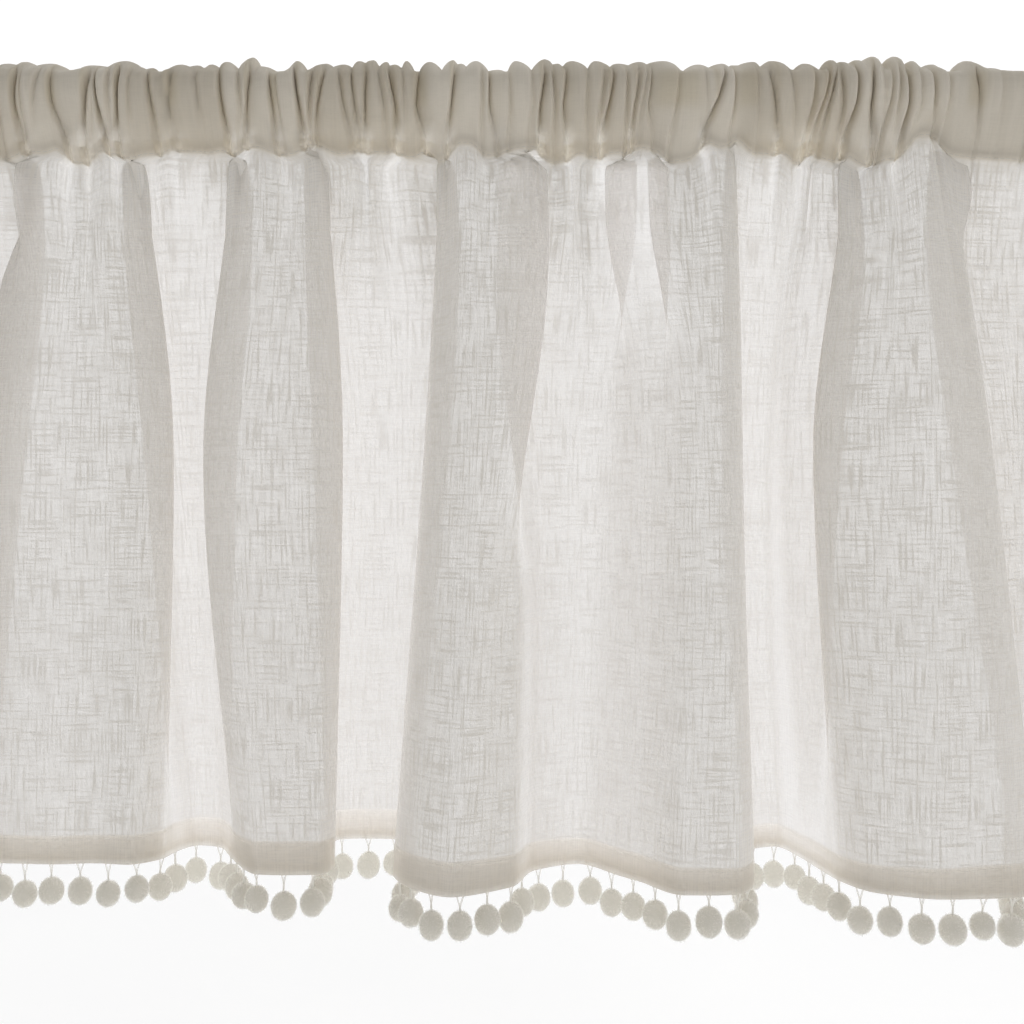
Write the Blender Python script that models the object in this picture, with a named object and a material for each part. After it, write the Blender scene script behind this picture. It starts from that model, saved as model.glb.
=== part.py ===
"""A gathered linen-look window valance with a pom-pom trim, hung on a plain curtain rod.

Metres, +Z up. The front of the valance faces -Y and the rod runs along +X. The origin is the
middle of the rod's left end. Tables give widths along the rod from the middle of the valance,
and depths forward of the rod's axis, in millimetres.
"""
import math
from collections import namedtuple

import bmesh
import bpy
import numpy as np

MM = 0.001

# Rod
ROD_LENGTH = 860 * MM
ROD_RADIUS = 12.7 * MM
ROD_SIDES = 32
ROD_CHAMFER = 1.0 * MM

# Cloth: one panel, gathered on the rod, with a pocket for the rod and a turned-up hem
CLOTH_THICKNESS = 1.2 * MM
HEM_TURN = 1.0 * MM          # added behind the cloth by the turned-up hem
HEM_HEIGHT = 17 * MM
HEM_STEP = 1.5 * MM          # height over which the back steps out to the turned-up hem
SEAM_DEPTH = 37 * MM         # rod axis down to the seam that closes the pocket
SEAM_THICKNESS = 2.4 * MM    # both pocket layers, sewn together
DROP = 405 * MM              # seam down to the hem's edge
ROD_CLEARANCE = 0.3 * MM
POCKET_ANGLES = (-22, 23, 68, 112, 157, 202)   # degrees round the rod, from its front
POCKET_RELIEF = (1.0, 1.0, 0.8, 0.7, 0.9, 0.9)
LOW_POCKET_DEPTH = 26 * MM   # a point of each layer between the rod and the seam
LOW_POCKET_FORWARD = 7.5 * MM
GATHER_RELIEF = 7.0 * MM     # crest over valley, on the pocket's front
FULL_GATHER = 24 * MM        # the width at which a gather stands its whole height
LOWEST_GATHER = 0.6          # of that height, on the narrowest gathers
LOW_POCKET_RELIEF = 0.8
SEAM_RELIEF = 4.5 * MM       # each way, at the seam
GATHER_FADE = 60 * MM        # how far below the seam the gathers last

# Trim: a tape behind the hem that carries the pom-poms
TAPE_GAP = 0.5 * MM
TAPE_THICKNESS = 1.4 * MM
TAPE_HEIGHT = 5 * MM
TAPE_ABOVE_EDGE = 1.0 * MM
ROOT_DEPTH = 1.2 * MM        # of each thread's root in the tape
POMPOM_PITCH = 15.8 * MM
POMPOM_RADIUS = 7.3 * MM
POMPOM_SIDES = 6
POMPOM_LATITUDE = math.radians(30)   # of the two rings of points round a pom-pom
POMPOM_SWELL = 1.1           # so that its flat sides are as wide as the ball
THREAD_RADIUS = 0.6 * MM
THREAD_SIDES = 3
THREAD_LENGTH = 9.8 * MM     # hem's edge to the pom-pom
THREAD_UNEVEN = 1.5 * MM     # each way, from one thread to the next
UNEVEN_TURN = 2.4            # radians from one thread to the next, for its length and its turn

# Gathers along the rod, left to right: the width of each
GATHER_WIDTHS = (
    17, 21, 19, 17, 20, 18, 19,
    22, 22, 17, 18, 19, 19, 22, 20, 15, 15, 15, 14, 16, 16, 17, 18,
    19, 20, 19, 23, 22, 18, 21, 21, 19, 16, 14, 21, 26,
    20, 17, 22, 19, 16, 21, 19,
)
GATHERED_WIDTH = 808 * MM
GATHER_PHASES = (0.0, 0.33, 0.67)   # the columns of points across one gather

# Folds, left to right. Where each bend of the cloth lies across the valance at the seam, just
# under it, halfway down and at the hem; how far forward of the rod it hangs at the hem; and how
# far the hem's edge is lifted there. An edge beside a return is a fold laid over itself.
Bend = namedtuple("Bend", "seam upper middle hem forward lift")
BENDS = (
    Bend(-404, -404, -403, -401, -4, 1),     # left side
    Bend(-384, -385, -388, -386, 20, 1),     # outer fold
    Bend(-360, -359, -358, -360, 24, 1),
    Bend(-348, -342, -338, -346, 8, 2),      # outer fold: right edge
    Bend(-343, -350, -349, -344, -12, 2),    # outer fold: return
    Bend(-318, -316, -322, -328, -30, 2),    # first recess
    Bend(-283, -270, -284, -308, -14, 3),    # fold A: return
    Bend(-278, -289, -306, -304, 0, 3),      # fold A: left edge
    Bend(-256, -258, -266, -266, 10, 4),
    Bend(-230, -224, -214, -218, 10, 4),
    Bend(-220, -207, -195, -201, -3, 3),     # fold A: right edge
    Bend(-216, -225, -216, -199, -18, 2),    # fold A: return
    Bend(-200, -204, -196, -190, -34, 1),    # second recess
    Bend(-172, -176, -181, -176, -30, 1),
    Bend(-163, -150, -160, -166, -12, 2),    # fold B: return
    Bend(-158, -164, -176, -156, 7, 3),      # fold B: left edge
    Bend(-142, -141, -150, -140, 25, 3),
    Bend(-123, -114, -108, -108, 26, 3),
    Bend(-118, -104, -96, -100, 13, 3),      # fold B: right edge
    Bend(-115, -120, -116, -109, -12, 3),    # fold B: return
    Bend(-107, -110, -105, -106, -35, 4),    # third recess
    Bend(-70, -71, -70, -74, -38, 4),
    Bend(-50, -30, -37, -61, -18, 2),        # fold C: return
    Bend(-42, -43, -50, -67, 13, 0),         # fold C: left edge
    Bend(-34, -34, -42, -57, 36, 0),
    Bend(-17, -18, -20, -32, 51, 0),
    Bend(8, 7, 4, 0, 36, 0),
    Bend(22, 20, 18, 13, 8, 0),              # the wide hollow between folds C and D
    Bend(48, 47, 44, 38, -1, 0),
    Bend(74, 74, 76, 68, 26, 0),
    Bend(94, 97, 101, 92, 49, 0),
    Bend(119, 122, 122, 120, 47, 0),
    Bend(126, 128, 128, 133, 29, 0),         # fold D: right edge
    Bend(130, 121, 120, 134, 4, 0),          # fold D: return
    Bend(136, 133, 134, 146, -30, 0),
    Bend(154, 153, 150, 160, -35, 0),        # fourth recess
    Bend(176, 170, 162, 170, -12, 0),
    Bend(188, 203, 188, 175, 8, 0),          # fold E: return
    Bend(193, 185, 168, 180, 26, 0),         # fold E: left edge
    Bend(210, 204, 190, 193, 44, 0),
    Bend(232, 232, 232, 226, 55, 0),
    Bend(244, 247, 257, 268, 52, 0),
    Bend(248, 252, 264, 286, 36, 0),         # fold E: right edge
    Bend(252, 237, 252, 289, 5, 0),          # fold E: return
    Bend(262, 262, 284, 297, -26, 1),        # last recess
    Bend(296, 295, 304, 318, -30, 2),
    Bend(324, 337, 336, 334, -8, 2),         # outer fold: return
    Bend(330, 322, 318, 336, 10, 2),         # outer fold: left edge
    Bend(352, 349, 346, 352, 30, 1),
    Bend(382, 383, 384, 380, 28, 1),
    Bend(404, 404, 403, 401, 0, 1),          # right side
)
UPPER_LEVEL = 0.11           # of the drop: where the table's second and third columns lie
MIDDLE_LEVEL = 0.42
QUICK_SHARE = 0.62           # of a fold's depth that it has soon under the seam
QUICK_REACH = 0.2            # of the drop
DROP_ROWS = (0.0, 0.04, 0.11, 0.22, 0.36, 0.53, 0.74)   # rows of points, seam to hem band

# Colours
CLOTH_COLOUR = (0.74, 0.71, 0.65)
TRIM_COLOUR = (0.78, 0.76, 0.71)
ROD_COLOUR = (0.42, 0.41, 0.39)


def clear_scene():
    for thing in list(bpy.data.objects):
        bpy.data.objects.remove(thing, do_unlink=True)


def plain_material(name, colour, roughness, metallic=0.0):
    material = bpy.data.materials.new(name)
    material.use_nodes = True
    shader = material.node_tree.nodes["Principled BSDF"]
    shader.inputs["Base Color"].default_value = (*colour, 1.0)
    shader.inputs["Roughness"].default_value = roughness
    shader.inputs["Metallic"].default_value = metallic
    return material


def add_object(name, mesh, material):
    thing = bpy.data.objects.new(name, mesh)
    bpy.context.scene.collection.objects.link(thing)
    mesh.materials.append(material)
    mesh.shade_smooth()
    mesh.set_sharp_from_angle(angle=math.radians(40))
    return thing


def through(knots, values, at):
    """A smooth curve through values at knots, read at other places. It never overshoots."""
    knots = np.asarray(knots, float)
    values = np.asarray(values, float)
    at = np.asarray(at, float)
    step = np.diff(knots)
    slope = (np.diff(values, axis=0).T / step).T
    before, after = slope[:-1], slope[1:]
    same_way = before * after > 0
    safe_sum = np.where(same_way, before + after, 1.0)
    tangent = np.zeros_like(values)
    tangent[1:-1] = np.where(same_way, 2 * before * after / safe_sum, 0.0)
    tangent[0], tangent[-1] = slope[0], slope[-1]
    left = np.clip(np.searchsorted(knots, at, side="right") - 1, 0, len(step) - 1)
    part = (at - knots[left]) / step[left]
    rise = (part * part * (3 - 2 * part)).reshape(part.shape + (1,) * (values.ndim - 1))
    run_in = (step[left] * part * (1 - part) ** 2).reshape(rise.shape)
    run_out = (step[left] * part * part * (part - 1)).reshape(rise.shape)
    return (
        values[left] * (1 - rise) + values[left + 1] * rise
        + tangent[left] * run_in + tangent[left + 1] * run_out
    )


def cloth_lengths():
    """Where each bend lies along the cloth: its length along the hem, from the left side."""
    hem = np.array([(bend.hem, bend.forward) for bend in BENDS]) * MM
    lengths = np.concatenate(([0.0], np.cumsum(np.linalg.norm(np.diff(hem, axis=0), axis=1))))
    for _ in range(4):
        fine = np.linspace(0.0, lengths[-1], 4000)
        curve = through(lengths, hem, fine)
        run = np.concatenate(([0.0], np.cumsum(np.linalg.norm(np.diff(curve, axis=0), axis=1))))
        lengths = np.interp(lengths, fine, run)
    return lengths


LENGTHS = cloth_lengths()


def seam_position(along):
    return through(LENGTHS, np.array([bend.seam for bend in BENDS]) * MM, along)


def gather_edges():
    edges = np.concatenate(([0.0], np.cumsum(GATHER_WIDTHS)))
    return (edges / edges[-1] - 0.5) * GATHERED_WIDTH


def column_stations():
    """Lengths along the cloth at which the mesh has its columns of points."""
    edges = gather_edges()
    across = [
        left + (right - left) * phase
        for left, right in zip(edges[:-1], edges[1:])
        for phase in GATHER_PHASES
    ]
    across.append(edges[-1])
    fine = np.linspace(0.0, LENGTHS[-1], 4000)
    return np.interp(across, seam_position(fine), fine)


def crest(along):
    """0 in the valley between two gathers, 1 on a gather's crest; narrow gathers are lower."""
    edges = gather_edges()
    across = seam_position(along)
    gather = np.clip(np.searchsorted(edges, across, side="right") - 1, 0, len(edges) - 2)
    width = edges[gather + 1] - edges[gather]
    phase = np.clip((across - edges[gather]) / width, 0.0, 1.0)
    height = np.clip(width / FULL_GATHER, LOWEST_GATHER, 1.0)
    return np.sin(math.pi * phase) ** 0.8 * height


def fold_growth(level):
    """How much of a fold's depth at the hem it has at a level: quick under the seam, then slow."""
    quick = 1 - math.exp(-level / QUICK_REACH)
    return QUICK_SHARE * quick + (1 - QUICK_SHARE) * level


def drop_points(along, level):
    """The middle of the cloth below the seam, at one level from 0 at the seam to 1 at the hem."""
    spread = np.array([(b.seam, b.upper, b.middle, b.hem) for b in BENDS]) * MM
    spread_here = through(LENGTHS, spread, along).T
    levels = (0.0, UPPER_LEVEL, MIDDLE_LEVEL, 1.0)
    across = through(levels, spread_here, np.array([level]))[0]
    forward = through(LENGTHS, np.array([b.forward for b in BENDS]) * MM, along)
    lift = through(LENGTHS, np.array([b.lift for b in BENDS]) * MM, along)
    fade = math.exp(-level * DROP / GATHER_FADE)
    relief = (2 * crest(along) - 1) * SEAM_RELIEF * fade
    depth = forward * fold_growth(level) + relief
    height = -SEAM_DEPTH - level * (DROP - lift)
    return np.stack([ROD_LENGTH / 2 + across, -depth, height], axis=1)


def face_normals(along, level):
    """Unit vectors out of the cloth's front, level with the ground."""
    nudge = 0.5 * MM
    ahead = drop_points(np.minimum(along + nudge, LENGTHS[-1]), level)
    behind = drop_points(np.maximum(along - nudge, 0.0), level)
    run = ahead - behind
    out = np.stack([run[:, 1], -run[:, 0], np.zeros(len(run))], axis=1)
    return out / np.linalg.norm(out, axis=1)[:, None]


def layer(along, level, offset):
    return drop_points(along, level) + face_normals(along, level) * offset


def hem_band_level():
    return 1 - HEM_HEIGHT / DROP


def hem_back_offset():
    return -CLOTH_THICKNESS / 2 - HEM_TURN


def drop_front(along):
    half = CLOTH_THICKNESS / 2
    rows = [layer(along, DROP_ROWS[0], SEAM_THICKNESS / 2)]
    rows += [layer(along, level, half) for level in DROP_ROWS[1:]]
    rows += [layer(along, hem_band_level(), half), layer(along, 1.0, half)]
    return rows


def drop_back(along):
    half = CLOTH_THICKNESS / 2
    step = HEM_STEP / DROP
    rows = [layer(along, DROP_ROWS[0], -SEAM_THICKNESS / 2)]
    rows += [layer(along, level, -half) for level in DROP_ROWS[1:]]
    rows.append(layer(along, hem_band_level() - step, -half))
    rows.append(layer(along, hem_band_level(), hem_back_offset()))
    rows.append(layer(along, 1.0, hem_back_offset()))
    return rows


def pocket_rows(along, outside):
    """Rows of points round the pocket, from low on its front over the rod to low on its back."""
    relief = crest(along) * GATHER_RELIEF
    across = ROD_LENGTH / 2 + seam_position(along)
    half_step = math.radians(POCKET_ANGLES[1] - POCKET_ANGLES[0]) / 2
    inner = (ROD_RADIUS + ROD_CLEARANCE) / math.cos(half_step)
    thickness = CLOTH_THICKNESS if outside else 0.0
    rows = []
    for angle, share in zip(POCKET_ANGLES, POCKET_RELIEF):
        radius = inner + thickness + relief * share
        turn = math.radians(angle)
        rows.append(np.stack([across, -radius * math.cos(turn), radius * math.sin(turn)], axis=1))
    low = LOW_POCKET_FORWARD + thickness + relief * LOW_POCKET_RELIEF
    depth = np.full_like(across, -LOW_POCKET_DEPTH)
    rows.insert(0, np.stack([across, -low, depth], axis=1))
    rows.append(np.stack([across, low, depth], axis=1))
    return rows


def pocket_bottom(along):
    """The row inside the pocket where its two layers meet, just over the seam."""
    points = drop_points(along, 0.0)
    points[:, 2] += SEAM_THICKNESS / 2
    return points


def skin_between(mesh, first, second):
    for a, b, c, d in zip(first[:-1], first[1:], second[1:], second[:-1]):
        mesh.faces.new((a, b, c, d))


def finish_mesh(mesh, name):
    bmesh.ops.recalc_face_normals(mesh, faces=mesh.faces)
    bmesh.ops.triangulate(mesh, faces=mesh.faces)
    data = bpy.data.meshes.new(name)
    mesh.to_mesh(data)
    mesh.free()
    return data


def cloth_mesh(along):
    mesh = bmesh.new()

    def add_rows(rows):
        return [[mesh.verts.new(point) for point in row] for row in rows]

    front = add_rows(drop_front(along))
    back = add_rows(drop_back(along))
    outer = add_rows(pocket_rows(along, True))
    inner = add_rows([pocket_bottom(along)] + pocket_rows(along, False))
    outside = front[::-1] + outer + back
    for first, second in zip(outside, outside[1:] + outside[:1]):
        skin_between(mesh, first, second)
    for first, second in zip(inner, inner[1:] + inner[:1]):
        skin_between(mesh, first, second)
    for end in (0, -1):
        close_side(mesh, end, front, back, outer, inner)
    return finish_mesh(mesh, "valance_cloth")


def close_side(mesh, end, front, back, outer, inner):
    """Closes one side edge of the cloth: the drop as a strip, the pocket as a ring."""
    front_edge = [row[end] for row in front]
    back_edge = [row[end] for row in back]
    ring_out = [front_edge[0]] + [row[end] for row in outer] + [back_edge[0]]
    ring_in = [row[end] for row in inner]
    ring_in.append(ring_in[0])
    for a, b, c, d in zip(ring_out[:-1], ring_out[1:], ring_in[1:], ring_in[:-1]):
        mesh.faces.new((a, b, c, d))
    mesh.faces.new((front_edge[0], ring_in[0], back_edge[0]))
    last_pair = len(front_edge) - 1
    for row in range(last_pair - 1):
        mesh.faces.new((front_edge[row], front_edge[row + 1], back_edge[row + 1], back_edge[row]))
    mesh.faces.new((
        front_edge[last_pair - 1], front_edge[last_pair],
        back_edge[last_pair + 1], back_edge[last_pair], back_edge[last_pair - 1],
    ))


def tape_point(along, over_edge, depth):
    """A row of points behind the hem, over its edge by a height and behind its back by a depth."""
    share = over_edge / HEM_HEIGHT
    top = layer(along, hem_band_level(), hem_back_offset() - depth)
    edge = layer(along, 1.0, hem_back_offset() - depth)
    return edge + (top - edge) * share


def tape_mesh(along):
    mesh = bmesh.new()
    low = TAPE_ABOVE_EDGE
    high = TAPE_ABOVE_EDGE + TAPE_HEIGHT
    near = TAPE_GAP
    far = TAPE_GAP + TAPE_THICKNESS
    corners = ((low, near), (high, near), (high, far), (low, far))
    rows = [
        [mesh.verts.new(point) for point in tape_point(along, height, depth)]
        for height, depth in corners
    ]
    for first, second in zip(rows, rows[1:] + rows[:1]):
        skin_between(mesh, first, second)
    for end in (0, -1):
        mesh.faces.new([row[end] for row in rows])
    return finish_mesh(mesh, "tape")


def ring(mesh, centre, radius, height, sides, turn):
    points = []
    for side in range(sides):
        angle = turn + 2 * math.pi * side / sides
        points.append(mesh.verts.new((
            centre[0] + radius * math.cos(angle),
            centre[1] + radius * math.sin(angle),
            height,
        )))
    return points


def join_rings(mesh, upper, lower):
    """Joins a ring to one with as many sides, or twice as many."""
    ratio = len(lower) // len(upper)
    for side, corner in enumerate(upper):
        following = upper[(side + 1) % len(upper)]
        start = side * ratio
        if ratio == 1:
            mesh.faces.new((corner, following, lower[(start + 1) % len(lower)], lower[start]))
            continue
        middle = lower[start + 1]
        mesh.faces.new((corner, middle, lower[start]))
        mesh.faces.new((corner, following, middle))
        mesh.faces.new((following, lower[(start + 2) % len(lower)], middle))


def add_pompom(mesh, root, thread_length, turn):
    """One thread and its ball, as one closed strand that starts inside the tape."""
    bottom = root[2] - TAPE_ABOVE_EDGE - ROOT_DEPTH - thread_length
    centre_height = bottom - POMPOM_RADIUS
    root_ring = ring(mesh, root, THREAD_RADIUS, root[2], THREAD_SIDES, turn)
    end_ring = ring(mesh, root, THREAD_RADIUS, bottom, THREAD_SIDES, turn)
    mesh.faces.new(root_ring)
    join_rings(mesh, root_ring, end_ring)
    previous = end_ring
    for latitude in (POMPOM_LATITUDE, -POMPOM_LATITUDE):
        height = centre_height + POMPOM_RADIUS * math.sin(latitude)
        radius = POMPOM_RADIUS * math.cos(latitude) * POMPOM_SWELL
        following = ring(mesh, root, radius, height, POMPOM_SIDES, turn)
        join_rings(mesh, previous, following)
        previous = following
    pole = mesh.verts.new((root[0], root[1], centre_height - POMPOM_RADIUS))
    for side, corner in enumerate(previous):
        mesh.faces.new((corner, previous[(side + 1) % POMPOM_SIDES], pole))


def pompom_roots():
    """Points in the tape for the threads, each as far from the last as the pom-poms' pitch."""
    columns = column_stations()
    middle_of_tape = TAPE_GAP + TAPE_THICKNESS / 2
    tape = tape_point(columns, TAPE_ABOVE_EDGE + ROOT_DEPTH, middle_of_tape)
    inset = POMPOM_PITCH / 2
    fine = np.linspace(columns[0] + inset, columns[-1] - inset / 2, 6000)
    path = np.stack([np.interp(fine, columns, tape[:, axis]) for axis in range(3)], axis=1)
    roots = [path[0]]
    for point in path[1:]:
        if np.linalg.norm(point - roots[-1]) >= POMPOM_PITCH:
            roots.append(point)
    return roots


def strands_mesh():
    mesh = bmesh.new()
    for index, root in enumerate(pompom_roots()):
        turn = index * UNEVEN_TURN
        add_pompom(mesh, root, THREAD_LENGTH + THREAD_UNEVEN * math.sin(turn), turn)
    return finish_mesh(mesh, "strands")


def build_cloth():
    mesh = cloth_mesh(column_stations())
    add_object("valance_cloth", mesh, plain_material("linen_cloth", CLOTH_COLOUR, 0.9))


def build_trim():
    material = plain_material("pompom_yarn", TRIM_COLOUR, 0.95)
    trim = add_object("pompom_trim", tape_mesh(column_stations()), material)
    strands = add_object("pompom_strands", strands_mesh(), material)
    strands.hide_render = True
    strands.display_type = "WIRE"
    union = trim.modifiers.new("pompoms", "BOOLEAN")
    union.operation = "UNION"
    union.solver = "EXACT"
    union.object = strands


def build_rod():
    mesh = bmesh.new()
    radii = (
        (0.0, ROD_RADIUS - ROD_CHAMFER),
        (ROD_CHAMFER, ROD_RADIUS),
        (ROD_LENGTH - ROD_CHAMFER, ROD_RADIUS),
        (ROD_LENGTH, ROD_RADIUS - ROD_CHAMFER),
    )
    rings = []
    for across, radius in radii:
        angles = [2 * math.pi * side / ROD_SIDES for side in range(ROD_SIDES)]
        rings.append([
            mesh.verts.new((across, radius * math.cos(angle), radius * math.sin(angle)))
            for angle in angles
        ])
    for first, second in zip(rings[:-1], rings[1:]):
        skin_between(mesh, first + first[:1], second + second[:1])
    mesh.faces.new(rings[0])
    mesh.faces.new(rings[-1])
    data = finish_mesh(mesh, "curtain_rod")
    add_object("curtain_rod", data, plain_material("painted_metal", ROD_COLOUR, 0.4, 0.6))


def main():
    clear_scene()
    build_rod()
    build_cloth()
    build_trim()


main()
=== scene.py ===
import math
from collections import namedtuple

import bmesh
import bpy
import numpy as np
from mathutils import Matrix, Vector


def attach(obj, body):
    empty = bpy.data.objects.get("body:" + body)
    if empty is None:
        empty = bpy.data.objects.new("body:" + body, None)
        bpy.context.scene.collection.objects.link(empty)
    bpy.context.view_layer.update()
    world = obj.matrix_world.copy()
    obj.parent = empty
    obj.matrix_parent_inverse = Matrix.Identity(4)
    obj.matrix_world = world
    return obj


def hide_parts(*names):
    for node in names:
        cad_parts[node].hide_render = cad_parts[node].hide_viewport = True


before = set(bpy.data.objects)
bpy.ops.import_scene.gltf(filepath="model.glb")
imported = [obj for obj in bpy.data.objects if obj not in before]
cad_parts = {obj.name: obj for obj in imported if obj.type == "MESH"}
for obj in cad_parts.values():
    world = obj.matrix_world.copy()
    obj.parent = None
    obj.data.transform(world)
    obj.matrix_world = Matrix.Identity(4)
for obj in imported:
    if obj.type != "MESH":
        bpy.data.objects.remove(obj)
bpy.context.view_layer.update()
mm = 0.001


# A Wire is one socket, and arithmetic on it adds Math nodes

def plug(tree, socket, value):
    if isinstance(value, Wire):
        tree.links.new(value.socket, socket)
    else:
        socket.default_value = value


class Wire:
    def __init__(self, socket):
        self.socket = socket
        self.tree = socket.id_data

    def math(self, operation, *values):
        node = self.tree.nodes.new("ShaderNodeMath")
        node.operation = operation
        for socket, value in zip(node.inputs, values):
            plug(self.tree, socket, value)
        return Wire(node.outputs[0])

    def __add__(self, other):
        return self.math("ADD", self, other)

    def __radd__(self, other):
        return self.math("ADD", other, self)

    def __sub__(self, other):
        return self.math("SUBTRACT", self, other)

    def __rsub__(self, other):
        return self.math("SUBTRACT", other, self)

    def __mul__(self, other):
        return self.math("MULTIPLY", self, other)

    def __rmul__(self, other):
        return self.math("MULTIPLY", other, self)

    def __pow__(self, other):
        return self.math("POWER", self, other)


class Finish:  # the nodes of a material or of the world
    def __init__(self, name, world=False):
        self.world = world
        self.data = (bpy.data.worlds if world else bpy.data.materials).new(name)
        self.data.use_nodes = True
        self.tree = self.data.node_tree
        self.tree.nodes.clear()

    # its kind, its settings, then its sockets' values or links
    def node(self, kind, settings=None, values=None, out=0):
        node = self.tree.nodes.new("ShaderNode" + kind)
        for name, value in (settings or {}).items():
            setattr(node, name, value)
        for name, value in (values or {}).items():
            plug(self.tree, node.inputs[name], value)
        return Wire(node.outputs[out])

    def smooth(self, value, low, high):
        return self.node("MapRange", {"interpolation_type": "SMOOTHSTEP"},
                         {"Value": value, "From Min": low, "From Max": high})

    def noise(self, vector, scale=1.0, detail=2.0, flat=False):
        return self.node("TexNoise", {"noise_dimensions": "2D" if flat else "3D"},
                         {"Vector": vector, "Scale": scale, "Detail": detail})

    def blend(self, share, first, second):
        return self.node("Mix", {"data_type": "RGBA"}, {0: share, 6: first, 7: second}, out=2)

    def show(self, shader):
        kind = "ShaderNodeOutputWorld" if self.world else "ShaderNodeOutputMaterial"
        plug(self.tree, self.tree.nodes.new(kind).inputs["Surface"], shader)
        return self.data


# Meshes

def smoothStep(value, low, high):
    share = np.clip((value - low) / (high - low), 0.0, 1.0)
    return share * share * (3 - 2 * share)


def directions(vectors, least=0.0):  # each made 1 long, also where one may have no length
    return vectors / (np.linalg.norm(vectors, axis=-1, keepdims=True) + least)


def lengthsAlong(points):  # from the first point to each
    return np.concatenate(([0.0], np.cumsum(np.linalg.norm(np.diff(points, axis=0), axis=1))))


def curved(start, end, leave, arrive, part):
    rise = part * part * (3 - 2 * part)
    return (start * (1 - rise) + end * rise + leave * (part * (1 - part) ** 2)
            + arrive * (part * part * (part - 1)))


def through(knots, values, at):  # a smooth curve that never overshoots
    knots, at = np.asarray(knots, float), np.asarray(at, float)
    values = np.asarray(values, float).T
    step = np.diff(knots)
    slope = np.diff(values) / step
    before, after = slope[..., :-1], slope[..., 1:]
    sameWay = before * after > 0
    tangent = np.zeros_like(values)
    tangent[..., 1:-1] = np.where(sameWay, 2 * before * after / np.where(sameWay, before + after, 1), 0)
    tangent[..., 0], tangent[..., -1] = slope[..., 0], slope[..., -1]
    left = np.clip(np.searchsorted(knots, at, side="right") - 1, 0, len(step) - 1)
    part = (at - knots[left]) / step[left]
    leave, arrive = tangent[..., left] * step[left], tangent[..., left + 1] * step[left]
    return curved(values[..., left], values[..., left + 1], leave, arrive, part).T


def addObject(name, data):
    thing = bpy.data.objects.new(name, data)
    bpy.context.scene.collection.objects.link(thing)
    return thing


def makeObject(name, points, faces, material, uv=None):
    mesh = bpy.data.meshes.new(name)
    mesh.from_pydata(np.reshape(points, (-1, 3)).tolist(), [], faces)
    mesh.shade_smooth()
    if uv is not None:
        corners = np.concatenate([np.asarray(face) for face in faces])
        layer = mesh.uv_layers.new(name="clothMetres")
        layer.data.foreach_set("uv", np.asarray(uv, np.float32)[corners].ravel())
    mesh.materials.append(material)
    return addObject(name, mesh)


def addValues(thing, name, values):  # one for each point, for the finish
    layer = thing.data.attributes.new(name, "FLOAT", "POINT")
    layer.data.foreach_set("value", np.asarray(values, np.float32).ravel())


def gridFaces(rows, columns, wrap=False):
    across = columns if wrap else columns - 1
    row, column = np.meshgrid(np.arange(rows - 1), np.arange(across), indexing="ij")
    following = (column + 1) % columns
    low, high = row * columns, (row + 1) * columns
    return np.stack([low + column, low + following, high + following, high + column], -1).reshape(-1, 4)


def pointsAt(at, run, points):  # on a line of points, at lengths along it
    return np.stack([np.interp(at, run, column) for column in points.T], axis=1)


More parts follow.
